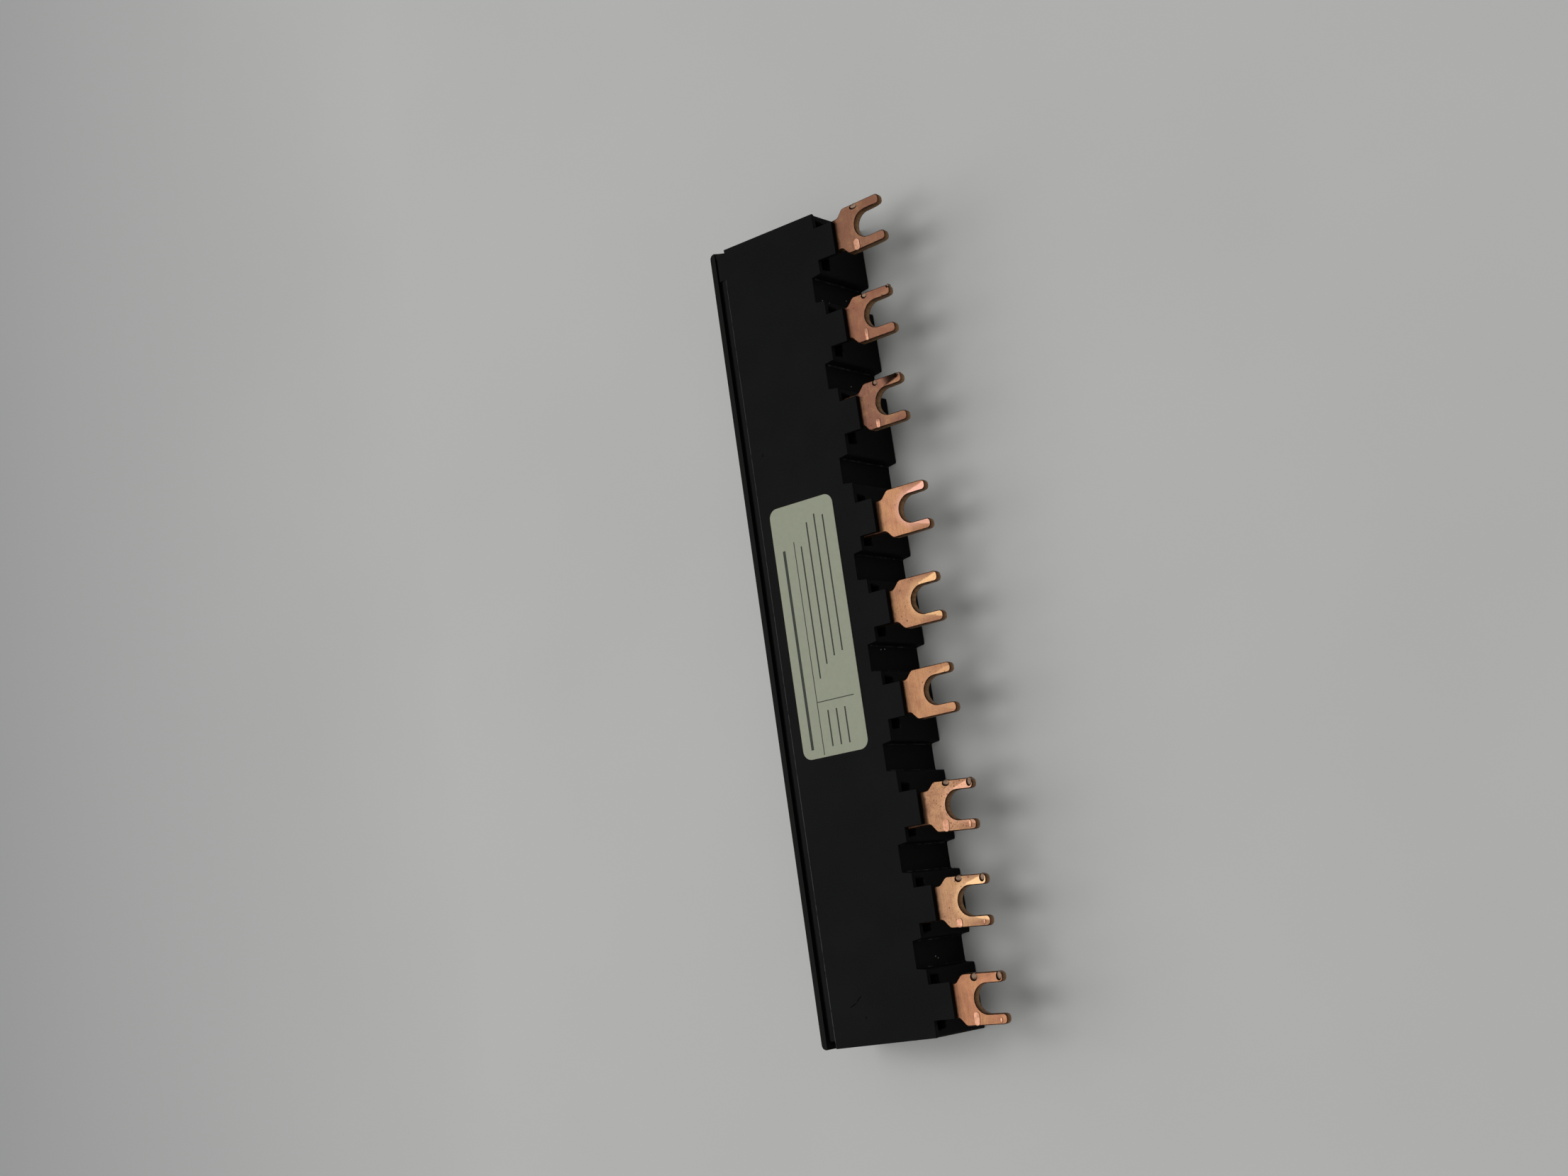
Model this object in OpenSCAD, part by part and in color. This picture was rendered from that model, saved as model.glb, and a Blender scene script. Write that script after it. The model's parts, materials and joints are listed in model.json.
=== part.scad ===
// Three-phase comb busbar: a moulded housing with a rear lid holds three stamped copper combs, one
// under the other. Each comb sends one fork tag to every device. It lies on its back, label face up:
// +X points the way the tags leave, +Y runs along the housing and +Z out of the label face.
// The origin is on the floor under the middle of the whole part.

/* [Layout] */
// Number of devices side by side
devices = 3; // [2:1:5]
// Width of one device, so the distance between neighbouring tags of one comb
device_pitch = 45; // [44.5:0.5:54]
// Distance between neighbouring tags of one device
tag_pitch = 14.3; // [13.5:0.1:14.6]

/* [Combs] */
// Thickness of the copper sheet
copper_t = 1.4; // [1:0.1:1.5]
// Width of a fork's slot, which takes an M4 terminal screw
slot_w = 4.4; // [4.2:0.1:4.6]
// Width of each leg of a fork
leg_w = 1.55; // [1.3:0.05:1.6]
// From the middle of the slot's round end to the tips of the legs
leg_l = 2.9; // [2:0.1:5]
// From the end of a tooth to the middle of the slot's round end
tag_reach = 5.85; // [5.5:0.05:9]
// Width of a neck between a comb's bar and its fork
neck_w = 5; // [4:0.1:5.2]
// Width of a comb's bar
bar_w = 10; // [8:0.5:10]
// Length of bar beyond the outermost necks
bar_margin = 0.5; // [0.2:0.1:0.8]
// Radius at mid-thickness of the bends that step a neck up to the tags' level
bend_r = 1.3; // [1:0.1:1.4]
// How much further the tags of comb 1 stand out than those of comb 2
reach_1 = 0.45; // [0:0.05:0.45]
// How much further the tags of comb 3 stand out than those of comb 2
reach_3 = -0.2; // [-0.2:0.05:0.4]
// How far comb 1 sits off centre along the housing
slip_1 = -0.35; // [-0.4:0.05:0.4]
// How far comb 3 sits off centre along the housing
slip_3 = 0.25; // [-0.4:0.05:0.4]

/* [Housing] */
// Length of the housing beyond the middle of the first and the last tag
end_margin = 4.7; // [4.7:0.1:8]
// Depth of the housing from its open side to the faces of its blocks
body_w = 19.15; // [19:0.05:24]
// Height of the housing from its back to the label face
body_h = 13; // [12.9:0.1:18]
// Thickness of the walls
wall = 1.2; // [1:0.1:1.3]
// Thickness of the label face and of the teeth on its edge
face_t = 0.75; // [0.5:0.05:1]
// Depth of the recesses between the blocks
recess_d = 1.65; // [0.8:0.05:1.8]
// Length of a recess at its bottom
recess_l = 4.05; // [3:0.05:4.2]
// How much longer a recess is at its mouth
recess_splay = 0.5; // [0:0.1:0.6]
// How much further out the blocks and recesses stand at the back than at the label face
draft = 0.45; // [0:0.05:0.5]
// How much closer together than the tags the moulding's own features came out, in percent
shrink = 0.7; // [0:0.1:0.8]
// Size of the chamfer along the edges of the back
back_chamfer = 0.2; // [0.1:0.1:0.8]
// Width of the bevel along the label face's rear edge
bevel_w = 0.95; // [0.3:0.05:1.2]
// Drop of that bevel
bevel_drop = 0.25; // [0.1:0.05:0.4]

/* [Teeth and windows] */
// Width of the teeth that cover the necks
tooth_w = 5.3; // [5:0.1:6]
// Length of the teeth
tooth_l = 3.05; // [1:0.05:5]
// Height of the windows that the tags leave by
window_h = 2.2; // [1.8:0.1:2.5]
// Free width on each side of a fork that passes its window
window_play = 0.15; // [0.05:0.05:0.2]

/* [Lid] */
// Thickness of the lid's plate
lid_t = 0.95; // [0.9:0.05:1.5]
// Open gap between the lid's plate and the housing
lid_gap = 0.7; // [0.6:0.05:1]
// How far the lid's frame reaches into the housing
frame_d = 1.3; // [1:0.1:1.3]
// Radius of the plate's outer corners
lid_corner_r = 0.8; // [0.2:0.05:0.85]

/* [Separators] */
// Thickness of the insulating strips between the bars
separator_t = 1.8; // [1.6:0.1:1.9]

/* [Label] */
// Length of the label
label_l = 40; // [20:1:60]
// Width of the label
label_w = 12.2; // [6:0.1:13]
// Thickness of the label
label_t = 0.12; // [0.05:0.01:0.3]
// Radius of the label's corners
label_r = 1.5; // [0.5:0.1:2.5]
// From the housing's rear edge to the label
label_inset = 2.85; // [1.5:0.05:3.5]
// How far the label sits off the middle of the housing
label_shift = -0.4; // [-5:0.1:5]

/* [Fit] */
// Clearance between pieces that slide into each other
fit = 0.1; // [0.05:0.05:0.15]

/* [Hidden] */
$fn = 48;
eps = 0.01;

phases = 3;
comb_reach = [reach_1, 0, reach_3];
comb_slip = [slip_1, 0, slip_3];

// Middle of a tag along Y: devices and combs both count from the +Y end
function tag_y(device, comb) =
    ((devices - 1) / 2 - device) * device_pitch + ((phases - 1) / 2 - comb) * tag_pitch;
tag_ys = [for (d = [0 : devices - 1]) for (c = [0 : phases - 1]) tag_y(d, c)];
tooth_ys = [for (y = tag_ys) y * (1 - shrink / 100)];
between_ys = [for (i = [0 : len(tag_ys) - 2]) (tooth_ys[i] + tooth_ys[i + 1]) / 2];

body_l = 2 * (tag_ys[0] + end_margin);
inner_l = body_l - 2 * wall;

// Stations along X from the back of the lid to the tips of the forks
total_w = lid_t + lid_gap + body_w + tooth_l + tag_reach + leg_l + max(comb_reach);
x_lid = -total_w / 2;
x_plate = x_lid + lid_t;
x_rear = x_plate + lid_gap;
x_face = x_rear + body_w;
x_recess = x_face - recess_d;
x_front = x_recess - wall;
x_tooth = x_face + tooth_l;
x_slot = x_tooth + tag_reach;
x_tip = x_slot + leg_l;

// The bars lie between the lid's frame and the partitions, with room for the combs' reaches
x_frame = x_rear + frame_d;
x_bar = x_frame + fit - min(comb_reach);
x_bar_front = x_bar + bar_w;
x_partition = x_bar_front + max(comb_reach) + fit;
x_step = x_partition - min(comb_reach);

// Levels along Z
z_face = body_h - face_t;
z_tag = z_face - fit - copper_t;
z_window = z_face - window_h;
bar_step = copper_t + separator_t + 2 * fit;
z_bars = [for (c = [0 : phases - 1]) z_tag - c * bar_step];

fork_w = slot_w + 2 * leg_w;
window_w = fork_w + 2 * window_play;
shoulder_l = 1.1;
bridge_l = 1.8;
x_fork = x_slot - slot_w / 2 - bridge_l;
x_neck = x_fork - shoulder_l;
tip_r = 0.6;
neck_root = 1;

partition_t = 1.4;
rib_t = 1.2;
bead_r = 0.25;
bead_l = 12;
land_l = 5;
land_d = 0.35;
web_l = 1;
notch_h = 4;
corner_l = 0.85;
corner_w = 1.25;
corner_h = 3;

// Points of an arc in its own plane
function arc(x, y, r, a0, a1, steps = 6) =
    [for (i = [0 : steps]) let (a = a0 + (a1 - a0) * i / steps) [x + r * cos(a), y + r * sin(a)]];

// A profile in X and Z, run along Y for a length about the middle y
module along_y(l, y = 0)
    translate([0, y + l / 2, 0]) rotate([90, 0, 0]) linear_extrude(l) children();

// A box between two corners
module box(from, to) translate(from) cube(to - from);

module housing() color("#1f1f20") {
    difference() {
        union() {
            along_y(body_l) polygon([
                [x_rear + back_chamfer, 0], [x_face + draft - back_chamfer, 0],
                [x_face + draft, back_chamfer], [x_face, body_h], [x_rear + bevel_w, body_h],
                [x_rear, body_h - bevel_drop], [x_rear, back_chamfer]]);
            for (y = tooth_ys)
                box([x_front, y - tooth_w / 2, z_face], [x_tooth, y + tooth_w / 2, body_h]);
            box([x_rear - land_d, body_l / 2 - land_l, back_chamfer],
                [x_rear + bevel_w, body_l / 2, body_h]);
        }
        box([x_rear - land_d - eps, -inner_l / 2, wall], [x_front, inner_l / 2, z_face]);
        for (y = between_ys) recess(y);
        for (y = tooth_ys) {
            box([x_front - eps, y - window_w / 2, wall],
                [x_face - wall, y + window_w / 2, z_face]);
            box([x_front, y - window_w / 2, z_window],
                [x_face + draft, y + window_w / 2, z_face]);
        }
        snap_beads(fit);
        box([x_rear - eps, -body_l / 2 - eps, body_h - notch_h],
            [x_rear + bevel_w, -inner_l / 2, body_h + eps]);
        box([x_rear - land_d - eps, body_l / 2 - corner_l, body_h - corner_h],
            [x_rear + corner_w, body_l / 2 + eps, body_h + eps]);
    }
    for (y = between_ys) {
        box([x_partition, y - partition_t / 2, wall - eps],
            [x_front + eps, y + partition_t / 2, z_face + eps]);
        box([x_frame + fit, y - rib_t / 2, wall - eps],
            [x_partition + eps, y + rib_t / 2, z_bars[phases - 1] - fit]);
    }
}

// The space of one recess, wider at its mouth, right through the height and leaning with the draft
module recess(y)
    multmatrix([[1, 0, -draft / body_h, draft], [0, 1, 0, y], [0, 0, 1, 0], [0, 0, 0, 1]])
        translate([0, 0, -eps]) linear_extrude(body_h + 2 * eps) polygon([
            [x_recess, -recess_l / 2], [x_face + eps, -(recess_l + recess_splay) / 2],
            [x_face + eps, (recess_l + recess_splay) / 2], [x_recess, recess_l / 2]]);

// Beads of the lid's frame along the back wall and up the end walls, with play the grooves for them
module snap_beads(play = 0) {
    for (d = [0 : devices - 1])
        translate([x_rear + frame_d / 2, tag_y(d, 1) + bead_l / 2 + play, wall + fit])
            rotate([90, 0, 0]) cylinder(r = bead_r + play, h = bead_l + 2 * play);
    for (side = [-1, 1])
        translate([x_rear + frame_d / 2, side * (inner_l / 2 - fit), body_h / 4 - play])
            cylinder(r = bead_r + play, h = body_h / 2 + 2 * play);
}

module lid() color("#29292b") {
    linear_extrude(body_h) polygon(concat(
        [[x_plate, -body_l / 2], [x_plate, body_l / 2]],
        arc(x_lid + lid_corner_r, body_l / 2 - lid_corner_r, lid_corner_r, 90, 180),
        arc(x_lid + lid_corner_r, lid_corner_r - body_l / 2, lid_corner_r, 180, 270)));
    difference() {
        box([x_plate - eps, fit - inner_l / 2, wall + fit],
            [x_frame, inner_l / 2 - fit, z_face - fit]);
        box([x_plate, fit + wall - inner_l / 2, 2 * wall + fit],
            [x_frame + eps, inner_l / 2 - fit - wall, z_face - fit - wall]);
    }
    for (y = between_ys)
        box([x_plate - eps, y - rib_t / 2, wall + fit], [x_frame, y + rib_t / 2, z_face - fit]);
    box([x_plate - eps, body_l / 2 - web_l, 0],
        [x_rear - land_d - fit, body_l / 2, body_h - bevel_drop]);
    translate([0, 0, body_h - corner_h + fit]) linear_extrude(corner_h - fit - bevel_drop)
        polygon([
            [x_plate - eps, body_l / 2 - corner_l + fit], [x_plate - eps, body_l / 2],
            [x_rear + corner_w - 2 * fit, body_l / 2 - corner_l / 2],
            [x_rear + corner_w - 2 * fit, body_l / 2 - corner_l + fit]]);
    snap_beads();
}

// One stamped comb: its bar, and a neck with a fork for every device
module comb(c) color("#b8714f") translate([comb_reach[c], comb_slip[c], 0]) {
    box([x_bar, tag_y(devices - 1, c) - neck_w / 2 - bar_margin, z_bars[c]],
        [x_bar_front, tag_y(0, c) + neck_w / 2 + bar_margin, z_bars[c] + copper_t]);
    for (d = [0 : devices - 1]) {
        neck(tag_y(d, c), z_bars[c]);
        fork(tag_y(d, c));
    }
}

// A neck: flat from a bar at the tags' level, and stepped up by two bends from a lower bar
module neck(y, z) along_y(neck_w, y)
    if (z < z_tag - eps) {
        z_low = z + copper_t / 2 + bend_r;
        z_high = z_tag + copper_t / 2 - bend_r;
        outer_r = bend_r + copper_t / 2;
        inner_r = bend_r - copper_t / 2;
        polygon(concat(
            [[x_bar_front - neck_root, z + copper_t], [x_bar_front - neck_root, z]],
            arc(x_step, z_low, outer_r, -90, 0),
            arc(x_step + 2 * bend_r, z_high, inner_r, 180, 90),
            [[x_neck + eps, z_tag], [x_neck + eps, z_tag + copper_t]],
            arc(x_step + 2 * bend_r, z_high, outer_r, 90, 180),
            arc(x_step, z_low, inner_r, 0, -90)));
    } else {
        polygon([[x_bar_front - neck_root, z], [x_neck + eps, z],
            [x_neck + eps, z + copper_t], [x_bar_front - neck_root, z + copper_t]]);
    }

// A fork: shoulders out from the neck, then two round-tipped legs beside the screw's slot
module fork(y) {
    half = concat(
        [[x_slot, slot_w / 2]],
        arc(x_tip - tip_r, slot_w / 2 + tip_r, tip_r, -90, 0, 4),
        arc(x_tip - tip_r, fork_w / 2 - tip_r, tip_r, 0, 90, 4),
        [[x_fork, fork_w / 2], [x_neck, neck_w / 2]]);
    translate([0, y, z_tag]) difference() {
        linear_extrude(copper_t) polygon(concat(half,
            [for (i = [len(half) - 1 : -1 : 0]) [half[i][0], -half[i][1]]]));
        translate([x_slot, 0, -eps]) cylinder(r = slot_w / 2, h = copper_t + 2 * eps);
    }
}

// An insulating strip under the bar of comb c
module separator(c) color("#dcd8cc")
    box([x_frame + fit, fit - inner_l / 2, z_bars[c] - fit - separator_t],
        [x_partition - fit, inner_l / 2 - fit, z_bars[c] - fit]);

module label() color("#d9ddcb")
    translate([x_rear + label_inset + label_w / 2, label_shift, body_h + label_t / 2]) {
        cube([label_w, label_l - 2 * label_r, label_t], center = true);
        cube([label_w - 2 * label_r, label_l, label_t], center = true);
        for (sx = [-1, 1]) for (sy = [-1, 1])
            translate([sx * (label_w / 2 - label_r), sy * (label_l / 2 - label_r), 0])
                cylinder(r = label_r, h = label_t, center = true);
    }

housing();
lid();
comb(0);  // comb_l1
comb(1);  // comb_l2
comb(2);  // comb_l3
separator(0);  // separator_upper
separator(1);  // separator_lower
label();
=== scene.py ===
"""Three-phase comb busbar on a pale table: black moulded housing and lid, bare copper fork tags, plain label.

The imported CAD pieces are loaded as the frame. The housing, the lid and the three combs are dressed copies
of them with rounded edges, scuffs and dents; the label is a new piece. Everything is in metres, in the
frame's own axes: +X the way the tags leave, +Y along the row, +Z out of the label face.
"""
import json
import math

import bpy
from mathutils import Matrix, Vector


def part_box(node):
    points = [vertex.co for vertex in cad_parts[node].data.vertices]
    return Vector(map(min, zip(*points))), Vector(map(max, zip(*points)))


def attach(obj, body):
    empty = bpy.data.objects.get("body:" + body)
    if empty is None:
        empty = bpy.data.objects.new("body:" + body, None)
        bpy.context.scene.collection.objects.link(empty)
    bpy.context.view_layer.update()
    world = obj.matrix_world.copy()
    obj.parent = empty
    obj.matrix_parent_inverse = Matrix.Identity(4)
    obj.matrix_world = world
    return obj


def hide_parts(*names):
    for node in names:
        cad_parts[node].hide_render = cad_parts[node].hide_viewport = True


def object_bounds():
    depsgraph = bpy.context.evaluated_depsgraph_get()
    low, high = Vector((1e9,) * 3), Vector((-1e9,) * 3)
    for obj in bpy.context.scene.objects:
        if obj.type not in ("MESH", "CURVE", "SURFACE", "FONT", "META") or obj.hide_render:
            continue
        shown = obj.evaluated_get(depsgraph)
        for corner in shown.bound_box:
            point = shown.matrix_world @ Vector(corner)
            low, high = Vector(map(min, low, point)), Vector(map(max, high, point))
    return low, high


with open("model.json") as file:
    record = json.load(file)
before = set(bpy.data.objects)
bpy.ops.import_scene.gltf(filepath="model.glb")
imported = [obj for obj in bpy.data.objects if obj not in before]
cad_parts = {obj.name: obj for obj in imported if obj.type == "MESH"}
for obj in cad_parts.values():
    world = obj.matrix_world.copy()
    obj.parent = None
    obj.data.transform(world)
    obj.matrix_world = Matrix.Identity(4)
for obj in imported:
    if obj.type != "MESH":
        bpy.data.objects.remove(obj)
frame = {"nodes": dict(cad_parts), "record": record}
cad_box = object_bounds()

MM = 0.001
DEVICE_PITCH = 45 * MM
SLOT_R = 2.2 * MM
LEG_W = 1.55 * MM
FORK_HALF = SLOT_R + LEG_W
NECK_HALF = 2.5 * MM
SHOULDER_FROM_SLOT = 4.0 * MM
NECK_FROM_SLOT = 5.1 * MM

# Stations of the housing, read from its box and from the combs
HOUSING_LOW, HOUSING_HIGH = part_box("housing")
FACE_Z = HOUSING_HIGH.z
PLATE_T = 0.75 * MM
REAR_X = HOUSING_LOW.x + 0.35 * MM
BLOCK_X = REAR_X + 19.15 * MM
RECESS_X = BLOCK_X - 1.65 * MM
DRAFT = 0.45 * MM
WINDOW_H = 2.2 * MM
TOOTH_X = BLOCK_X + 3.05 * MM
SHRINK = 0.007
# How its corners are rounded or chamfered: the crease runs along the face's lid side, the rim round the face
BLOCK_ROUND = 0.45 * MM
RECESS_CHAMFER = 0.16 * MM
SILL_CHAMFER = 0.14 * MM
CREASE = 0.11 * MM
RIM_ROUND = 0.08 * MM
COPPER_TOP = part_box("comb_l2")[1].z
COPPER_T = 1.4 * MM
SHOULDER_ROUND = 0.35 * MM
LOWER_TIP_ROUND = 0.45 * MM
CORNER_ROUND = 0.14 * MM

# The middle of each fork's slot, from the record's mounts
SLOTS = [Vector(m["pos_m"]) for m in frame["record"]["mounts"] if m["name"].startswith("fork")]

# How handling has bent each fork: outwards and along the row in millimetres, and turned in degrees
FORK_BENDS = ((-0.12, 0.7, 2.2), (-0.34, 0.03, 0), (-0.56, 0.14, 0),
              (-0.07, -0.11, 0), (0.03, -0.18, 0), (0.03, 0.08, 0),
              (-0.03, -0.17, -3.7), (0.02, -0.2, -3.4), (0.42, -0.25, -2.5))
# Each fork's colour, with the first device's forks painted darker as painted shade for the dimmer light they
# catch; its colour on the clamp's burnishing, lighter as a painted highlight; how much of that; and how
# pitted it is
FORK_LOOKS = (
    ("#845e4a", "#8d6751", 0.3, 0.0), ("#8c614c", "#98745a", 0.3, 0.15), ("#815b4a", "#a07758", 0.3, 0.4),
    ("#b38261", "#d8a493", 0.9, 0.1), ("#a4785a", "#d6ab7c", 0.85, 0.6), ("#a87b5a", "#c49770", 0.5, 0.3),
    ("#a87f60", "#cf9c80", 0.8, 1.0), ("#aa8262", "#deb486", 0.9, 0.5), ("#a57456", "#b48060", 0.3, 0.0))
# How much the lower prongs of a comb's forks get the burnishing and its painted highlight, against the upper
# ones
LOWER_PRONGS = (0.6, 0.8, 0.5)
# Clamp marks, from the slot's middle in millimetres: place and half sizes of the dents, and for the
# coined tabs the place of the top, the width and the length
DENTS = {0: ((-1.75, 3.35, 0.68, 0.4),), 1: ((-1.75, 3.4, 0.5, 0.4), (2.65, 3.55, 0.22, 0.22)),
         2: ((-1.8, 3.35, 0.45, 0.42), (2.05, 3.5, 0.22, 0.25), (2.55, 3.45, 0.2, 0.25)),
         6: ((-1.75, 3.4, 0.62, 0.42), (2.22, 3.2, 0.42, 0.6)),
         7: ((-1.75, 3.35, 0.58, 0.45), (2.28, 3.24, 0.4, 0.55)),
         8: ((-1.85, 3.25, 0.58, 0.55), (2.35, 3.15, 0.42, 0.62))}
TABS = {0: ((-2.35, -1.9, 1.05, 1.86),),
        1: ((-2.3, -1.75, 0.55, 2.0),),
        2: ((-2.3, -2.3, 0.7, 1.45),),
        6: ((-2.4, -1.9, 1.05, 1.86), (1.7, -2.35, 0.4, 1.1)),
        7: ((-2.3, -2.35, 0.95, 1.4), (1.95, -2.8, 0.35, 0.6)),
        8: ((-2.15, -1.75, 0.95, 2.0), (1.9, -2.75, 0.35, 0.75))}

# ---------------------------------------------------------------------------- camera


def make_camera():
    """Over the tags' side, rolled so that the row runs up the picture."""
    data = bpy.data.cameras.new("camera")
    camera = bpy.data.objects.new("camera", data)
    bpy.context.scene.collection.objects.link(camera)
    data.sensor_width = 36
    data.lens = 45.54
    data.clip_start = 0.01
    camera.location = Vector((166.525, -50.02, 261.6)) * MM
    camera.rotation_euler = [math.radians(a) for a in (4.61, 36.66, -10.08)]
    bpy.context.scene.camera = camera


make_camera()

# ---------------------------------------------------------------------------- colours and nodes


def linear(hex_colour):
    """An sRGB hex colour as linear RGBA."""
    parts = [int(hex_colour[i:i + 2], 16) / 255 for i in (1, 3, 5)]
    return [c / 12.92 if c <= 0.04045 else ((c + 0.055) / 1.055) ** 2.4 for c in parts] + [1]


def feed(tree, socket, value):
    """Sets a socket to a number, a vector or an sRGB hex colour, or links a node or a node's output to it."""
    if isinstance(value, str):
        socket.default_value = linear(value)
    elif isinstance(value, bpy.types.Node):
        tree.links.new(next(output for output in value.outputs if output.enabled), socket)
    elif isinstance(value, bpy.types.NodeSocket):
        tree.links.new(value, socket)
    else:
        socket.default_value = value


def add(tree, kind, *inputs, **settings):
    """Adds a node: settings are its properties, or its sockets by name; inputs feed its sockets in order."""
    node = tree.nodes.new(kind)
    for key in [key for key in settings if hasattr(node, key)]:
        setattr(node, key, settings.pop(key))
    sockets = [socket for socket in node.inputs if socket.enabled]
    by_name = {socket.name.lower(): socket for socket in reversed(sockets)}
    for key, value in settings.items():
        feed(tree, by_name[key.replace("_", " ").lower()], value)
    for socket, value in zip(sockets, inputs):
        feed(tree, socket, value)
    return node


def new_material(name, **settings):
    """A material with its shader, whose constant sockets are set by name."""
    material = bpy.data.materials.new(name)
    material.use_nodes = True
    tree = material.node_tree
    tree.nodes.clear()
    shader = add(tree, "ShaderNodeBsdfPrincipled", **settings)
    add(tree, "ShaderNodeOutputMaterial", Surface=shader)
    return material, tree, shader


# The kinds of node used most: a sum, a value taken from one range to another, and a mix of two colours
MATH, RANGE, MIX = "ShaderNodeMath", "ShaderNodeMapRange", "ShaderNodeMix"

# ---------------------------------------------------------------------------- materials


def moulded_plastic(name, colour, bloom, gloss=0.07, grain_mm=0.2, roughness=0.62):
    """Black glass-filled plastic from a spark-eroded mould: a dead matt grain under a faint cloudy bloom."""
    material, tree, shader = new_material(name, IOR=1.5, Specular_IOR_Level=gloss)
    place = add(tree, "ShaderNodeTexCoord").outputs["Object"]
    # The eroded grain is a few hundredths of a millimetre, too fine to show, so it is drawn coarser
    grain = add(tree, "ShaderNodeTexNoise", Vector=place, Scale=1 / (grain_mm * MM), Detail=2)
    cloud = add(tree, "ShaderNodeTexNoise", Vector=place, Scale=1 / (11 * MM), Detail=5, Roughness=0.6)
    pale_grain = add(tree, RANGE, grain, 0.35, 0.75)
    speckle = add(tree, MIX, pale_grain, colour, bloom, data_type="RGBA")
    worn = add(tree, MIX, add(tree, RANGE, cloud, 0.4, 0.75, 0, 0.5), speckle, bloom, data_type="RGBA")
    dullness = add(tree, RANGE, grain, 0.3, 0.7, roughness - 0.06, roughness + 0.08)
    feed(tree, shader.inputs["Base Color"], worn)
    feed(tree, shader.inputs["Roughness"], dullness)
    bump = add(tree, "ShaderNodeBump", Height=grain, Strength=0.3, Distance=0.02 * MM)
    feed(tree, shader.inputs["Normal"], bump)
    return material


def streaked_plastic(name, colour, scuff, amount, bare):
    """The same plastic with broken pale streaks along its corners: scuffs where corners have been rubbed, and
    a painted highlight along the crease.
    """
    material, tree, shader = new_material(name, IOR=1.5, Specular_IOR_Level=0.1, Roughness=0.6)
    place = add(tree, "ShaderNodeTexCoord").outputs["Object"]
    streak = add(tree, "ShaderNodeTexNoise", Vector=place, Scale=1 / (1.3 * MM), Detail=5, Roughness=0.7)
    worn = add(tree, RANGE, streak, bare, bare + 0.17, 0, amount)
    feed(tree, shader.inputs["Base Color"], add(tree, MIX, worn, colour, scuff, data_type="RGBA"))
    return material


def by_device(tree, where, values):
    """What a comb's three forks have of their own, first device first: colours or amounts."""
    second = add(tree, MATH, where, -DEVICE_PITCH / 2, operation="GREATER_THAN")
    first = add(tree, MATH, where, DEVICE_PITCH / 2, operation="GREATER_THAN")
    if isinstance(values[0], str):
        lower = add(tree, MIX, second, values[2], values[1], data_type="RGBA")
        return add(tree, MIX, first, lower, values[0], data_type="RGBA")
    lower = add(tree, MATH, second, values[1] - values[2], values[2], operation="MULTIPLY_ADD")
    rise = add(tree, MATH, values[0], lower, operation="SUBTRACT")
    return add(tree, MATH, first, rise, lower, operation="MULTIPLY_ADD")


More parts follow.
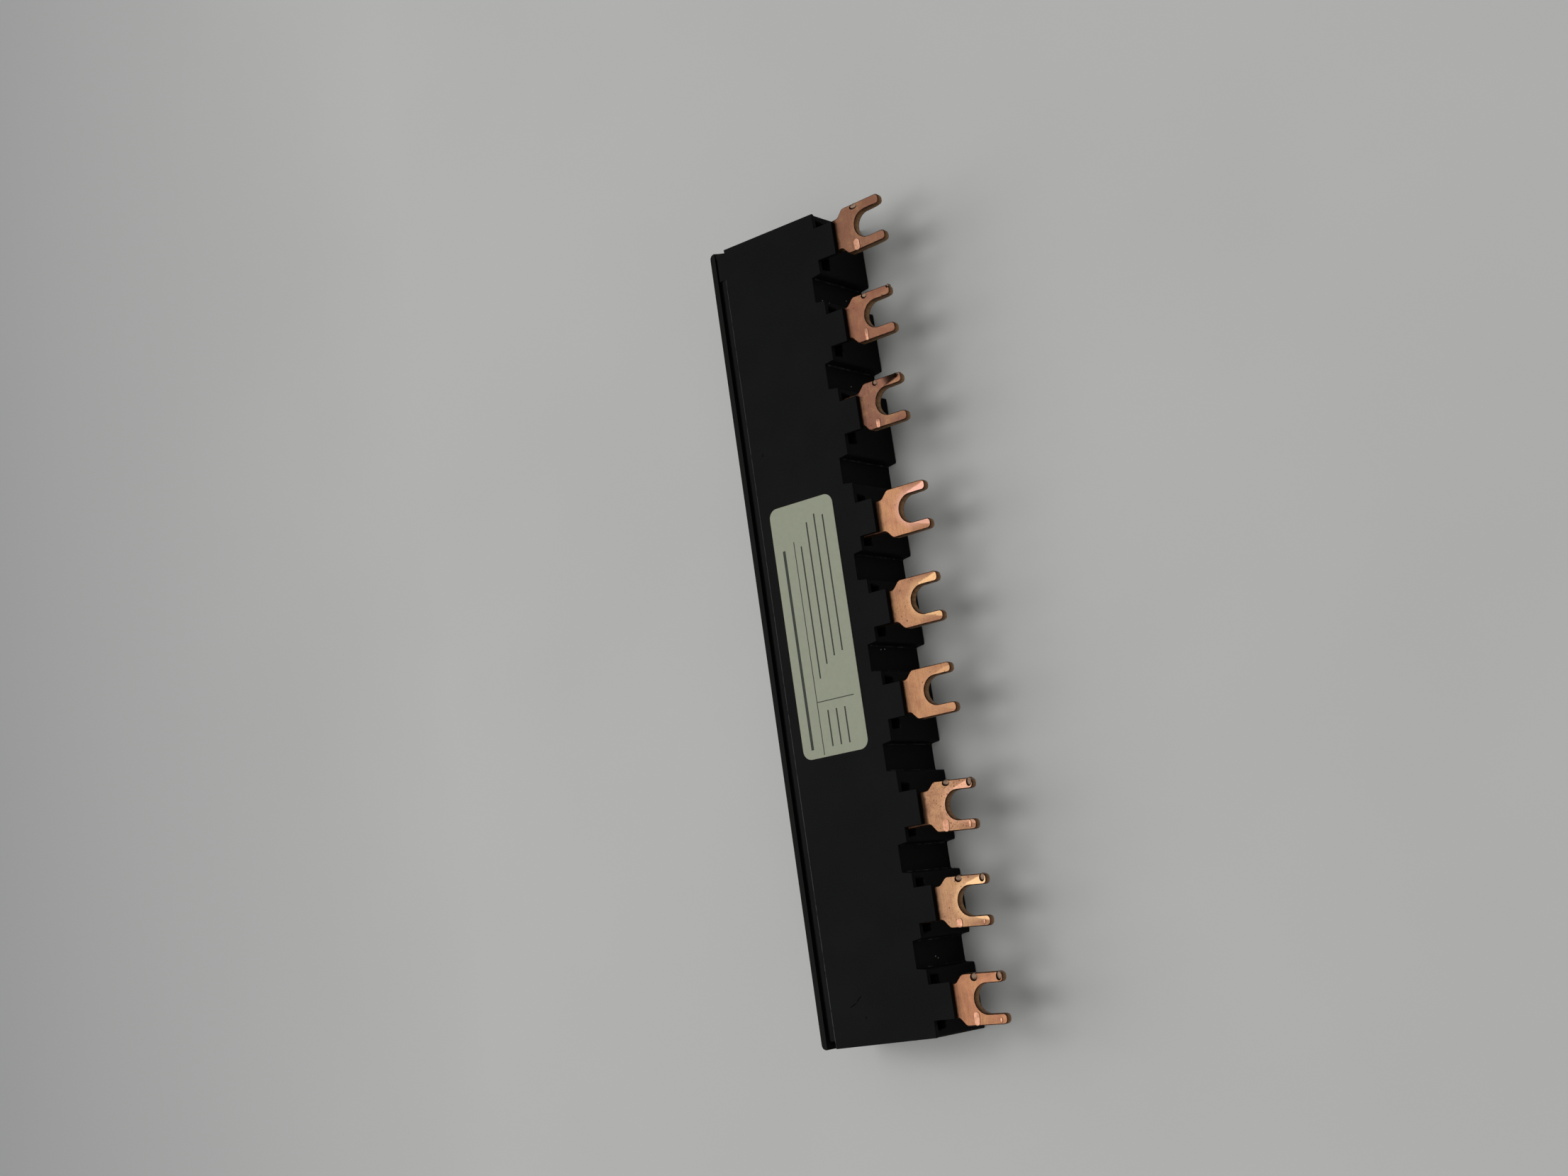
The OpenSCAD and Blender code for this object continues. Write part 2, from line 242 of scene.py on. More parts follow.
def rolled_copper(index):
    """Rolled copper strip: fine lines along the row, patchy tarnish, pits, and shine where screws clamp,
    drawn as a lighter wedge that is burnishing and painted highlight, with painted shade beside it and under
    the tooth.
    """
    material, tree, shader = new_material(f"rolled copper strip {index + 1}", Metallic=1.0)
    place = add(tree, "ShaderNodeTexCoord").outputs["Object"]
    axes = add(tree, "ShaderNodeSeparateXYZ", Vector=place).outputs
    slot = SLOTS[index]
    body, burnish_colour_and_highlight, shine, pitted = zip(*[FORK_LOOKS[index + step] for step in (0, 3, 6)])
    along = add(tree, MATH, axes["X"], slot.x, operation="SUBTRACT")
    across = add(tree, MATH, axes["Y"], slot.y, operation="SUBTRACT")
    across = add(tree, MATH, across, DEVICE_PITCH / 2, -DEVICE_PITCH / 2, operation="WRAP")
    wobble = add(tree, "ShaderNodeTexNoise", Vector=place, Scale=1 / (0.9 * MM), Detail=3)
    # The clamp burnishes a wedge along each prong, wide at the tip, crisper on the upper prong; it is painted
    # lighter, burnishing together with a painted highlight where the prong's inner half is tilted to the
    # light
    shaky = add(tree, MATH, wobble, 0.5, operation="SUBTRACT")
    side = add(tree, MATH, across, operation="ABSOLUTE")
    side = add(tree, MATH, shaky, 0.4 * MM, side, operation="MULTIPLY_ADD")
    border = add(tree, RANGE, along, -0.6 * MM, 2.9 * MM, 2.4 * MM, 3.4 * MM)
    inside = add(tree, MATH, border, side, operation="SUBTRACT")
    wedge = add(tree, RANGE, inside, -0.1 * MM, 0.12 * MM)
    start = add(tree, RANGE, along, -0.9 * MM, -0.3 * MM)
    wedge = add(tree, MATH, wedge, start, operation="MULTIPLY")
    prong = add(tree, RANGE, across, -0.5 * MM, 0.5 * MM, LOWER_PRONGS[index], 1)
    wedge = add(tree, MATH, wedge, prong, operation="MULTIPLY")
    # Round the slot's end the shine fades out
    behind = add(tree, MATH, along, 0, operation="MINIMUM")
    behind_squared = add(tree, MATH, behind, behind, operation="MULTIPLY")
    across_squared = add(tree, MATH, across, across, operation="MULTIPLY")
    reach = add(tree, MATH, behind_squared, across_squared, operation="ADD")
    reach = add(tree, MATH, reach, operation="SQRT")
    halo = add(tree, RANGE, reach, SLOT_R + 1.2 * MM, SLOT_R, 0, 0.5)
    shine_here = by_device(tree, axes["Y"], shine)
    burnish_and_highlight = add(tree, MATH, wedge, halo, operation="MAXIMUM")
    burnish_and_highlight = add(tree, MATH, burnish_and_highlight, shine_here, operation="MULTIPLY")
    # Rolling lines and grain are finer than this in the strip; they are drawn as coarse as they need to show
    stain = add(tree, "ShaderNodeTexNoise", Vector=place, Scale=1 / (2.6 * MM), Detail=6, Roughness=0.65)
    rolled = add(tree, "ShaderNodeMapping", Vector=place, Scale=(1, 0.08, 1))
    lines = add(tree, "ShaderNodeTexNoise", Vector=rolled, Scale=1 / (0.22 * MM), Detail=3)
    haze = add(tree, "ShaderNodeTexNoise", Vector=place, Scale=1 / (0.3 * MM), Detail=4, Roughness=0.7)
    grain = add(tree, "ShaderNodeTexNoise", Vector=place, Scale=1 / (0.14 * MM), Detail=2)
    # Each fork's body colour; the first device's forks are painted darker, painted shade for the dimmer light
    # they catch
    face = by_device(tree, axes["Y"], body)
    for pattern, low, high, most, colour in (
            (stain, 0.5, 0.75, 0.5, "#74473c"), (stain, 0.5, 0.3, 0.45, "#b58a5c"),
            (grain, 0.5, 0.7, 0.35, "#5c3a2c"), (lines, 0.45, 0.75, 0.3, "#633f32")):
        amount = add(tree, RANGE, pattern, low, high, 0, most)
        face = add(tree, MIX, amount, face, colour, data_type="RGBA")
    # Beside the lighter wedge the prongs are painted darker: painted shade on the outer half of each prong,
    # which is tilted away from the light
    outside = add(tree, MATH, 1, wedge, operation="SUBTRACT")
    on_prong = add(tree, RANGE, along, -1.2 * MM, 0, 0, 0.5)
    outer_painted_shade = add(tree, MATH, outside, on_prong, operation="MULTIPLY")
    outer_painted_shade = add(tree, MATH, outer_painted_shade, shine_here, operation="MULTIPLY")
    face = add(tree, MIX, outer_painted_shade, face, "#79523f", data_type="RGBA")
    # The wedge is painted in the burnishing colour: burnishing with a painted highlight
    face = add(tree, MIX, burnish_and_highlight, face, by_device(tree, axes["Y"], burnish_colour_and_highlight), data_type="RGBA")
    speckle = by_device(tree, axes["Y"], pitted)
    spots = add(tree, RANGE, haze, 0.5, 0.75, 0, 0.6)
    spots = add(tree, MATH, spots, speckle, operation="MULTIPLY")
    face = add(tree, MIX, spots, face, "#4f3024", data_type="RGBA")
    # Pits: one smeared cell of about half a millimetre in some of the cells
    half_mm = (0.5 * MM, 0.5 * MM, 0.5 * MM)
    smear = haze.outputs["Color"]
    smeared = add(tree, "ShaderNodeVectorMath", smear, half_mm, place, operation="MULTIPLY_ADD")
    pits = add(tree, "ShaderNodeTexVoronoi", Vector=smeared, Scale=1 / (0.5 * MM))
    lot = add(tree, "ShaderNodeSeparateColor", Color=pits.outputs["Color"])
    share = add(tree, MATH, speckle, 0.6, operation="MULTIPLY")
    chosen = add(tree, MATH, share, lot, operation="GREATER_THAN")
    pit = add(tree, RANGE, pits.outputs["Distance"], 0.24, 0.12)
    pit = add(tree, MATH, pit, chosen, operation="MULTIPLY")
    pit_shade = add(tree, MATH, pit, 0.75, operation="MULTIPLY")
    face = add(tree, MIX, pit_shade, face, "#331c13", data_type="RGBA")
    # Painted shade where the neck comes out from under the tooth: a dark band standing in for the tooth's
    # shadow
    tooth = add(tree, MATH, wobble, 0.5 * MM, along, operation="MULTIPLY_ADD")
    tooth_painted_shade = add(tree, RANGE, tooth, -5.1 * MM, -5.6 * MM, 0, 0.85)
    face = add(tree, MIX, tooth_painted_shade, face, "#20140e", data_type="RGBA")
    pit_depth = add(tree, MATH, pit, 1.5, operation="MULTIPLY")
    height = add(tree, MATH, haze, pit_depth, operation="SUBTRACT")
    feed(tree, shader.inputs["Base Color"], face)
    feed(tree, shader.inputs["Roughness"], add(tree, RANGE, burnish_and_highlight, 0, 1, 0.5, 0.42))
    bump = add(tree, "ShaderNodeBump", Height=height, Strength=0.35, Distance=0.02 * MM)
    feed(tree, shader.inputs["Normal"], bump)
    return material


def sheared_copper():
    """The strip's blanked edges: dull mauve brown with fine streaks down the thickness."""
    material, tree, shader = new_material("sheared copper edge", Metallic=1.0, Roughness=0.55)
    place = add(tree, "ShaderNodeTexCoord").outputs["Object"]
    squash = add(tree, "ShaderNodeMapping", Vector=place, Scale=(1, 1, 0.12))
    streaks = add(tree, "ShaderNodeTexNoise", Vector=squash, Scale=1 / (0.35 * MM), Detail=4)
    height = add(tree, "ShaderNodeSeparateXYZ", Vector=place).outputs["Z"]
    # The upper third is the smooth sheared band, the rest is torn
    band = add(tree, RANGE, height, COPPER_TOP - 0.75 * MM, COPPER_TOP - 0.45 * MM)
    half_band = add(tree, MATH, band, 0.5, operation="MULTIPLY")
    torn = add(tree, MIX, add(tree, RANGE, streaks, 0.2, 0.8), "#7d5a3e", "#b08a62", data_type="RGBA")
    edge = add(tree, MIX, half_band, torn, "#5a3826", data_type="RGBA")
    feed(tree, shader.inputs["Base Color"], edge)
    return material


def patchy_copper(name, roughness, patch_mm, dark, light, low, high):
    """Copper in patches of two colours."""
    material, tree, shader = new_material(name, Metallic=1.0, Roughness=roughness)
    place = add(tree, "ShaderNodeTexCoord").outputs["Object"]
    patches = add(tree, "ShaderNodeTexNoise", Vector=place, Scale=1 / (patch_mm * MM), Detail=3)
    colour = add(tree, MIX, add(tree, RANGE, patches, low, high), dark, light, data_type="RGBA")
    feed(tree, shader.inputs["Base Color"], colour)
    return material


def coated_paper(name, colour, shade):
    """Label stock: off-white paper with a matt coat, a little uneven."""
    material, tree, shader = new_material(name, IOR=1.45, Roughness=0.6, Specular_IOR_Level=0.25)
    place = add(tree, "ShaderNodeTexCoord").outputs["Object"]
    fibre = add(tree, "ShaderNodeTexNoise", Vector=place, Scale=1 / (0.8 * MM), Detail=4)
    feed(tree, shader.inputs["Base Color"], add(tree, MIX, fibre, colour, shade, data_type="RGBA"))
    return material


HOUSING_BLACK = moulded_plastic("spark-eroded black plastic", "#020202", "#131313")
LID_BLACK = moulded_plastic("black plastic lid", "#0a0b0a", "#161714")
SCUFFED = streaked_plastic("scuffed black plastic", "#090909", "#52524f", 0.6, 0.48)
# A broken painted highlight along the crease on the face's lid side
CREASE_HIGHLIGHT = streaked_plastic("rubbed plastic rim", "#0c0c0c", "#464644", 0.7, 0.33)
# Blacker plastic in the scratches: painted shade in the grooves
SCRATCH_SHADE = moulded_plastic("scored black plastic", "#010101", "#020202", 0.01)
DUST = coated_paper("dust", "#8d8d88", "#77776f")
EDGE_COPPER = sheared_copper()
# The blanked corners and the dents' hollows are painted near-black: painted shade, standing in for the dark
# that their tilted faces reflect
PAINTED_SHADE_COPPER = patchy_copper("tarnished copper corner", 0.5, 0.7, "#22150f", "#5c3a2a", 0.45, 0.7)
# Freshly pressed copper on the coined tabs and ridges
BRIGHT_COPPER = patchy_copper("coined copper", 0.42, 0.5, "#a9785f", "#c6957a", 0.35, 0.65)
# The clamp marks, grey where the screw's plating has rubbed off on them
BRUISED_COPPER = patchy_copper("bruised copper", 0.65, 0.5, "#7a6252", "#9c8370", 0.35, 0.65)
FILM = coated_paper("insulating film", "#dcd8cc", "#cfcabb")
PAPER = coated_paper("label paper", "#9da08b", "#939681")
PRINT = coated_paper("label print", "#2c2f29", "#3c3f38")


def paint(piece, *materials):
    """Gives a piece its materials, the first one on all its faces."""
    piece.data.materials.clear()
    for material in materials:
        piece.data.materials.append(material)


def one_material(piece, number):
    """Gives all a piece's faces the material in one of its slots."""
    piece.data.polygons.foreach_set("material_index", [number] * len(piece.data.polygons))


for node in ("separator_upper", "separator_lower"):
    paint(frame["nodes"][node], FILM)

# ---------------------------------------------------------------------------- modelling helpers


def only(piece):
    """Makes a piece the one selected, active object."""
    bpy.ops.object.select_all(action="DESELECT")
    piece.select_set(True)
    bpy.context.view_layer.objects.active = piece


def pick(piece, kind, test):
    """Goes into edit mode with just those vertices, edges or polygons selected that pass the test."""
    only(piece)
    mesh = piece.data
    bpy.context.tool_settings.mesh_select_mode = [kind == k for k in ("vertices", "edges", "polygons")]
    for parts in (mesh.vertices, mesh.edges, mesh.polygons):
        parts.foreach_set("select", [False] * len(parts))
    chosen = getattr(mesh, kind)
    chosen.foreach_set("select", [test(part) for part in chosen])
    bpy.ops.object.mode_set(mode="EDIT")


def done():
    """Back to object mode."""
    bpy.ops.object.mode_set(mode="OBJECT")


def dressed_copy(node, name):
    """A copy of a CAD node to dress: merged, with its flat faces whole again."""
    piece = bpy.data.objects.new(name, frame["nodes"][node].data.copy())
    piece.data.name = name
    bpy.context.scene.collection.objects.link(piece)
    only(piece)
    if piece.data.has_custom_normals:
        bpy.ops.mesh.customdata_custom_splitnormals_clear()
    pick(piece, "vertices", lambda v: True)
    bpy.ops.mesh.remove_doubles(threshold=0.001 * MM)
    bpy.ops.mesh.dissolve_limited(angle_limit=math.radians(1))
    done()
    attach(piece, "root")
    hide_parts(node)
    return piece


def ends(piece, edge):
    """The two ends of an edge."""
    return [piece.data.vertices[v].co for v in edge.vertices]


def round_edges(piece, width, segments=2, angle=40, material=-1):
    """Rounds every edge sharper than an angle."""
    only(piece)
    bevel = piece.modifiers.new("round", "BEVEL")
    bevel.width = width
    bevel.segments = segments
    bevel.limit_method = "ANGLE"
    bevel.angle_limit = math.radians(angle)
    bevel.material = material
    bpy.ops.object.modifier_apply(modifier=bevel.name)


def smooth(piece, angle=35):
    """Shades a piece smooth but for its sharp edges."""
    only(piece)
    bpy.ops.object.shade_smooth_by_angle(angle=math.radians(angle))
    flat = piece.modifiers.new("flat faces", "WEIGHTED_NORMAL")
    flat.keep_sharp = True
    bpy.ops.object.modifier_apply(modifier=flat.name)


def place_in_mesh(piece):
    """Puts an object's own place and turn into its mesh."""
    only(piece)
    bpy.ops.object.transform_apply(location=True, rotation=True, scale=True)


def cut_or_join(piece, tools, operation):
    """Cuts the tools out of a piece, or joins them to it, and deletes them."""
    only(tools[0])
    for tool in tools:
        tool.select_set(True)
    bpy.ops.object.join()
    tool = bpy.context.object
    only(piece)
    boolean = piece.modifiers.new(operation.lower(), "BOOLEAN")
    boolean.operation = operation
    boolean.solver = "EXACT"
    boolean.material_mode = "INDEX"
    boolean.object = tool
    bpy.ops.object.modifier_apply(modifier=boolean.name)
    bpy.data.objects.remove(tool, do_unlink=True)


# ---------------------------------------------------------------------------- housing and lid


HOUSING_FACES = [HOUSING_BLACK, SCUFFED, CREASE_HIGHLIGHT, SCRATCH_SHADE, DUST]


def ball(place, half_size, faces, material):
    """A flattened ball at a place in millimetres, all of it in one of a piece's face materials."""
    bpy.ops.mesh.primitive_uv_sphere_add(segments=24, ring_count=12, radius=1, location=Vector(place) * MM)
    made = bpy.context.object
    made.scale = Vector(half_size) * MM
    place_in_mesh(made)
    paint(made, *faces)
    one_material(made, faces.index(material))
    return made


# Scratches in the label face: middle of each from the part's centre, half length in millimetres and heading
SCRATCHES = ((-9.6, -57.9, 0.75, 25), (-8.4, -57.05, 0.75, 40),
             (-7.6, -59.9, 0.25, 120), (-11.7, 28.7, 0.3, 70))

# Dust caught on the recesses' walls: place along the row and height in millimetres
SPECKS = ((51.5, 4.6), (50.4, 11.1), (50.3, 9.3), (36.8, 6.9),
          (-5.6, 8.7), (-5.7, 9.7), (-52.4, 7.7), (-52.7, 7.1))


def scratch(x, y, half_length, heading):
    """A thin pointed cutter for one scratch in the label face."""
    line = ball((x, y, FACE_Z / MM), (half_length, 0.06, 0.07), HOUSING_FACES, SCRATCH_SHADE)
    pick(line, "vertices", lambda v: True)
    # With no window, transform.rotate turns the other way
    bpy.ops.transform.rotate(value=-math.radians(heading), orient_axis="Z", orient_type="GLOBAL",
                             center_override=(x * MM, y * MM, FACE_Z))
    done()
    return line


def speck(y, z):
    """One grain of dust on a recess's leaning wall."""
    wall = RECESS_X + DRAFT * (1 - z * MM / FACE_Z)
    return ball((wall / MM, y, z), (0.09, 0.1, 0.12), HOUSING_FACES, DUST)


def add_to(piece, bits):
    """Adds small bits to a piece as shells of their own, so that the faces they stand on stay whole."""
    only(piece)
    for bit in bits:
        bit.select_set(True)
    bpy.ops.object.join()


def make_housing():
    """The moulding: rounded block corners under a sharp plate, scuffed recess corners and window sills."""
    housing = dressed_copy("housing", "housing_shell")
    paint(housing, *HOUSING_FACES)
    scuffed = HOUSING_FACES.index(SCUFFED)
    # A line round all the walls where the label face's plate begins
    pick(housing, "vertices", lambda v: True)
    bpy.ops.mesh.bisect(plane_co=(0, 0, FACE_Z - PLATE_T), plane_no=(0, 0, 1))
    done()

    def upright(edge, low, high, x_low, x_high):
        a, b = ends(housing, edge)
        middle = (a + b) / 2
        lean = DRAFT * (1 - middle.z / FACE_Z)
        return (abs(a.z - b.z) > 2 * MM and abs(a.y - b.y) < 0.1 * MM and low < middle.z < high
                and x_low < middle.x - lean < x_high)

    plate = FACE_Z - PLATE_T
    pick(housing, "edges", lambda e: upright(e, 0, plate, BLOCK_X - 0.08 * MM, BLOCK_X + 0.08 * MM))
    bpy.ops.mesh.bevel(offset=BLOCK_ROUND, segments=4, affect="EDGES")
    done()
    pick(housing, "edges", lambda e: upright(e, 0, plate, RECESS_X - 0.08 * MM, RECESS_X + 0.08 * MM))
    bpy.ops.mesh.bevel(offset=RECESS_CHAMFER, segments=1, affect="EDGES", material=scuffed)
    done()

    def sill(edge):
        a, b = ends(housing, edge)
        level = FACE_Z - PLATE_T - WINDOW_H
        return (abs(a.z - level) < 0.02 * MM and abs(b.z - level) < 0.02 * MM
                and abs(a.x - b.x) < 0.05 * MM and abs(a.y - b.y) > 1 * MM
                and (a.x + b.x) / 2 > BLOCK_X)

    pick(housing, "edges", sill)
    bpy.ops.mesh.bevel(offset=SILL_CHAMFER, segments=1, affect="EDGES", material=scuffed)
    done()

    def crease(edge):
        a, b = ends(housing, edge)
        return (abs(a.x - b.x) < 0.01 * MM and abs(a.y - b.y) > 1 * MM and min(a.z, b.z) > FACE_Z - 0.01 * MM
                and REAR_X + 0.3 * MM < a.x < REAR_X + 1.8 * MM)

    # The crease's narrow bevel carries the painted highlight
    pick(housing, "edges", crease)
    bpy.ops.mesh.bevel(offset=CREASE, segments=1, affect="EDGES", material=HOUSING_FACES.index(CREASE_HIGHLIGHT))
    done()

    def rim(edge):
        a, b = ends(housing, edge)
        return a.z > FACE_Z - 0.01 * MM and b.z > FACE_Z - 0.01 * MM

    pick(housing, "edges", rim)
    bpy.ops.mesh.bevel(offset=RIM_ROUND, segments=2, affect="EDGES")
    done()
    cut_or_join(housing, [scratch(*line) for line in SCRATCHES], "DIFFERENCE")
    # The two end teeth came out of the mould a little longer than the rest
    for fork, longer in ((0, 0.35 * MM), (8, 0.6 * MM)):
        middle = SLOTS[fork].y * (1 - SHRINK)
        pick(housing, "vertices", lambda v: v.co.x > TOOTH_X - 0.4 * MM and abs(v.co.y - middle) < 3.2 * MM)
        bpy.ops.transform.translate(value=(longer, 0, 0))
        done()
    smooth(housing)
    specks = [speck(*place) for place in SPECKS]
    add_to(housing, specks)


def make_lid():
    """The rear lid, its edges rounded by the mould."""
    lid = dressed_copy("lid", "lid_cover")
    paint(lid, LID_BLACK)
    round_edges(lid, 0.15 * MM)
    smooth(lid)


# ---------------------------------------------------------------------------- combs


def fork_place(number):
    """Where handling has taken a fork from the CAD's place: a turn about its slot and a shift."""
    out, sideways, turn = FORK_BENDS[number]
    slot = SLOTS[number]
    shift = Matrix.Translation(Vector((out, sideways, 0)) * MM)
    return shift @ Matrix.Translation(slot) @ Matrix.Rotation(math.radians(turn), 4, "Z")


def set_on_fork(piece, number, place):
    """Moves a piece from the origin to a place on a fork's upper face, in millimetres from its slot."""
    top = Vector((0, 0, COPPER_TOP - SLOTS[number].z))
    piece.matrix_world = fork_place(number) @ Matrix.Translation(Vector(place) * MM + top)
    place_in_mesh(piece)


def near_fork(point, number):
    """Whether a point belongs to a fork, beyond its neck."""
    offset = point - SLOTS[number]
    return abs(offset.y) < 6 * MM and offset.x > -NECK_FROM_SLOT - 1 * MM


# A comb's face materials; the first is its own rolled copper
COMB_FACES = [None, EDGE_COPPER, BRIGHT_COPPER, BRUISED_COPPER, PAINTED_SHADE_COPPER]


def dent(number, x, y, half_x, half_y):
    """The hollow of a clamp mark, with its steep side towards the neck."""
    # The hollow is painted near-black copper: painted shade on its steep wall
    hollow = ball((0, 0, 0), (half_x + 0.05, half_y + 0.05, 0.35), COMB_FACES, PAINTED_SHADE_COPPER)
    set_on_fork(hollow, number, (x - 0.07, y - 0.07, 0.04))
    return hollow


def bruise(number, x, y, half_x, half_y):
    """The metal that the clamp has pushed up and outwards in a dent: a low smeared pad."""
    bpy.ops.mesh.primitive_cylinder_add(vertices=32, radius=1, depth=1)
    pad = bpy.context.object
    pad.scale = (half_x * MM, half_y * MM, 0.6 * MM)
    place_in_mesh(pad)
    pick(pad, "polygons", lambda f: f.normal.z > 0.9)
    bpy.ops.mesh.bevel(offset=0.45 * min(half_x, half_y) * MM, segments=2, affect="EDGES")
    done()
    paint(pad, *COMB_FACES)
    one_material(pad, COMB_FACES.index(BRUISED_COPPER))
    set_on_fork(pad, number, (x + 0.05, y + 0.05, -0.28))
    smooth(pad, 60)
    return pad


def coined_tab(number, x, y, width, length):
    """A raised tab with rounded ends, pressed up in a fork's upper face."""
    bpy.ops.mesh.primitive_cylinder_add(vertices=24, radius=width / 2 * MM, depth=0.8 * MM)
    tab = bpy.context.object
    pick(tab, "vertices", lambda v: v.co.y < -0.01 * MM)
    bpy.ops.transform.translate(value=(0, (width - length) * MM, 0))
    done()
    pick(tab, "polygons", lambda f: f.normal.z > 0.9)
    bpy.ops.mesh.bevel(offset=0.07 * MM, segments=2, affect="EDGES")
    done()
    set_on_fork(tab, number, (x, y - width / 2, -0.3))
    paint(tab, *COMB_FACES)
    one_material(tab, COMB_FACES.index(EDGE_COPPER))
    for face in tab.data.polygons:
        if face.normal.z > 0.5:
            face.material_index = COMB_FACES.index(BRIGHT_COPPER)
    return tab


def make_comb(index):
    """One comb: blanked from strip, its shoulders rounded, its forks bent and marked by use."""
    comb = dressed_copy(f"comb_l{index + 1}", f"comb_strip_{index + 1}")
    COMB_FACES[0] = rolled_copper(index)
    paint(comb, *COMB_FACES)
    edge_copper = COMB_FACES.index(EDGE_COPPER)
    forks = [index, index + 3, index + 6]

    def shoulder(edge):
        a, b = ends(comb, edge)
        if abs(a.z - b.z) < 1 * MM or abs(a.x - b.x) > 0.01 * MM:
            return False
        for fork in forks:
            offset = (a + b) / 2 - SLOTS[fork]
            for half, back in ((FORK_HALF, SHOULDER_FROM_SLOT), (NECK_HALF, NECK_FROM_SLOT)):
                if abs(abs(offset.y) - half) < 0.02 * MM and abs(offset.x + back) < 0.05 * MM:
                    return True
        return False

    pick(comb, "edges", shoulder)
    bpy.ops.mesh.bevel(offset=SHOULDER_ROUND, segments=4, affect="EDGES")
    done()

    def lower_tip(edge):
        a, b = ends(comb, edge)
        level = COPPER_TOP - COPPER_T
        return (abs(a.z - level) < 0.02 * MM and abs(b.z - level) < 0.02 * MM
                and min(a.x, b.x) > SLOTS[index].x + 0.2 * MM)

    # The blanking die has pulled the tips' lower corners round
    pick(comb, "edges", lower_tip)
    bpy.ops.mesh.bevel(offset=LOWER_TIP_ROUND, segments=3, affect="EDGES", material=edge_copper)
    done()
    round_edges(comb, CORNER_ROUND, segments=2, angle=50, material=COMB_FACES.index(PAINTED_SHADE_COPPER))
    pick(comb, "polygons", lambda f: abs(f.normal.z) < 0.1 and f.center.x > BLOCK_X)
    comb.active_material_index = edge_copper
    bpy.ops.object.material_slot_assign()
    done()
    for fork in forks:
        move = fork_place(fork) @ Matrix.Translation(-SLOTS[fork])
        turn = FORK_BENDS[fork][2]
        pick(comb, "vertices", lambda v: near_fork(v.co, fork))
        if turn:
            # With no window, transform.rotate turns the other way
            bpy.ops.transform.rotate(value=-math.radians(turn), orient_axis="Z", orient_type="GLOBAL",
                                     center_override=SLOTS[fork])
        bpy.ops.transform.translate(value=(move @ SLOTS[fork]) - SLOTS[fork])
        done()
        # The turned tips stay within the row's depth
        over = max(v.co.x for v in comb.data.vertices) - cad_box[1].x
        if over > 0:
            pick(comb, "vertices", lambda v: near_fork(v.co, fork) and v.co.x > SLOTS[fork].x + 1 * MM)
            bpy.ops.transform.translate(value=(-over, 0, 0))
            done()
    dents = [dent(fork, *mark) for fork in forks for mark in DENTS.get(fork, ())]
    bruises = [bruise(fork, *mark) for fork in forks for mark in DENTS.get(fork, ())]
    tabs = [coined_tab(fork, *tab) for fork in forks for tab in TABS.get(fork, ())]
    cut_or_join(comb, dents, "DIFFERENCE")
    cut_or_join(comb, tabs, "UNION")
    smooth(comb, 25)
    add_to(comb, bruises)


# ---------------------------------------------------------------------------- label


# Plain ruled lines on the label: from its lid side and its lower end to the far corner, in millimetres
LABEL_LINES = ((3.85, 0.3, 3.99, 34.0), (4.0, 8.4, 10.9, 8.54), (5.1, 12.0, 5.35, 33.0),
               (6.7, 14.0, 6.95, 36.5), (8.3, 15.0, 8.55, 37.5), (9.9, 15.5, 10.15, 37.0),
               (1.6, 1.4, 2.1, 33.0), (5.6, 1.4, 5.85, 7.0), (7.2, 1.4, 7.45, 7.0), (8.8, 1.4, 9.05, 7.0))


def make_label():
    """A paper label with rounded corners and a few plain ruled lines, bare of any words."""
    low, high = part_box("label")
    ink = 0.01 * MM
    bpy.ops.object.select_all(action="DESELECT")
    bpy.ops.mesh.primitive_cube_add(size=1, location=(low + high) / 2 - Vector((0, 0, ink / 2)))
    label = bpy.context.object
    label.name = "label_sheet"
    label.scale = high - low - Vector((0, 0, ink))
    place_in_mesh(label)
    paint(label, PAPER, PRINT)
    pick(label, "edges", lambda e: abs(ends(label, e)[0].z - ends(label, e)[1].z) > (high.z - low.z) / 2)
    bpy.ops.mesh.bevel(offset=1.5 * MM, segments=8, affect="EDGES")
    done()
    pick(label, "polygons", lambda f: f.normal.z > 0.9)
    bpy.ops.mesh.bevel(offset=0.03 * MM, segments=2, affect="EDGES")
    done()
    lines = []
    for x_near, y_near, x_far, y_far in LABEL_LINES:
        near = low + Vector((x_near, y_near, 0)) * MM
        far = low + Vector((x_far, y_far, 0)) * MM
        near.z, far.z = high.z - 2 * ink, high.z
        bpy.ops.object.select_all(action="DESELECT")
        bpy.ops.mesh.primitive_cube_add(size=1, location=(near + far) / 2)
        line = bpy.context.object
        line.scale = far - near
        place_in_mesh(line)
        paint(line, PRINT)
        lines.append(line)
    add_to(label, lines)
    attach(label, "root")
    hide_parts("label")
    smooth(label)


make_housing()
make_lid()
for comb_index in range(3):
    make_comb(comb_index)
make_label()

# ---------------------------------------------------------------------------- table and light


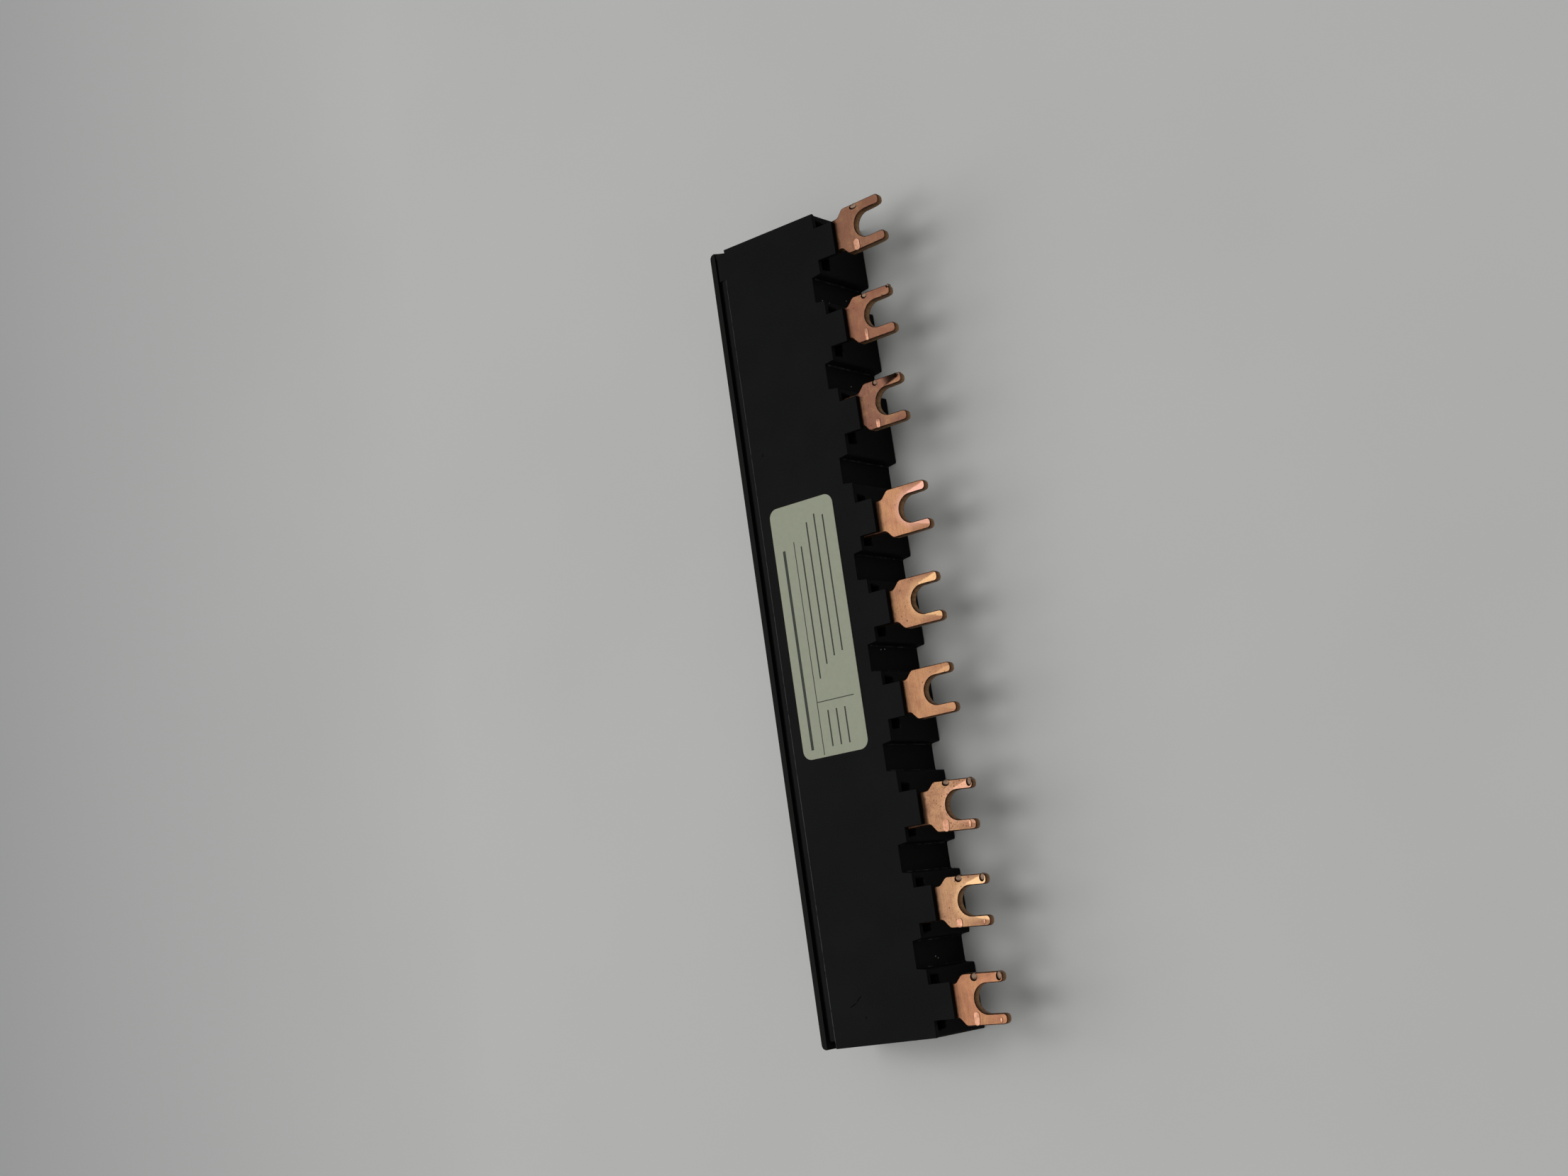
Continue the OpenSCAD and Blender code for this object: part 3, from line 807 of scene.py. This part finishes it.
def make_table():
    """A matt pale grey table top, far larger than the view."""
    bpy.ops.object.select_all(action="DESELECT")
    bpy.ops.mesh.primitive_plane_add(size=4, location=(0, 0, 0))
    table = bpy.context.object
    table.name = "table"
    material, tree, shader = new_material("pale matt table top", Roughness=0.8, IOR=1.45,
                                          Specular_IOR_Level=0.15)
    place = add(tree, "ShaderNodeTexCoord").outputs["Object"]
    far = add(tree, "ShaderNodeSeparateXYZ", Vector=place).outputs["X"]
    cloud = add(tree, "ShaderNodeTexNoise", Vector=place, Scale=1 / (60 * MM), Detail=6)
    # The sheet is painted greyer towards its far side: painted shade for the light falling off there
    tone_and_falloff_shade = add(tree, MIX, add(tree, RANGE, far, -0.1, -0.26), "#c2c2bf", "#a0a09f", data_type="RGBA")
    clouded = add(tree, RANGE, cloud, 0.4, 0.7, 0, 0.12)
    tone_and_falloff_shade = add(tree, MIX, clouded, tone_and_falloff_shade, "#a8a8a6", data_type="RGBA")
    feed(tree, shader.inputs["Base Color"], tone_and_falloff_shade)
    table.data.materials.append(material)


def area_light(name, place, size, power, aim=(0, 0, 0)):
    """A soft rectangular lamp that faces a point."""
    data = bpy.data.lights.new(name, "AREA")
    data.shape = "RECTANGLE"
    data.size, data.size_y = size
    data.energy = power
    lamp = bpy.data.objects.new(name, data)
    bpy.context.scene.collection.objects.link(lamp)
    lamp.location = place
    lamp.rotation_euler = (Vector(aim) - Vector(place)).to_track_quat("-Z", "Y").to_euler()


make_table()
area_light("window", (-1.9, 0.2, 1.4), (1.5, 1.5), 16)
area_light("ceiling panel", (-0.4, -0.35, 2.1), (0.8, 0.6), 8)
area_light("ceiling panel behind", (-0.5, 0.6, 2.1), (0.8, 0.6), 6)
area_light("ceiling panel aside", (0.45, 0.1, 2.3), (1.2, 1.2), 4)

# The room: a pale ceiling above dark walls, so that upright faces stay dark
world = bpy.data.worlds.new("room")
bpy.context.scene.world = world
world.use_nodes = True
tree = world.node_tree
direction = add(tree, "ShaderNodeTexCoord").outputs["Generated"]
height = add(tree, "ShaderNodeSeparateXYZ", Vector=direction).outputs["Z"]
sky = add(tree, MIX, add(tree, RANGE, height, 0.25, 0.95), "#3c3a38", "#eef1f4", data_type="RGBA")
feed(tree, tree.nodes["Background"].inputs["Color"], sky)
tree.nodes["Background"].inputs["Strength"].default_value = 0.58
bpy.context.scene.view_settings.view_transform = "Standard"
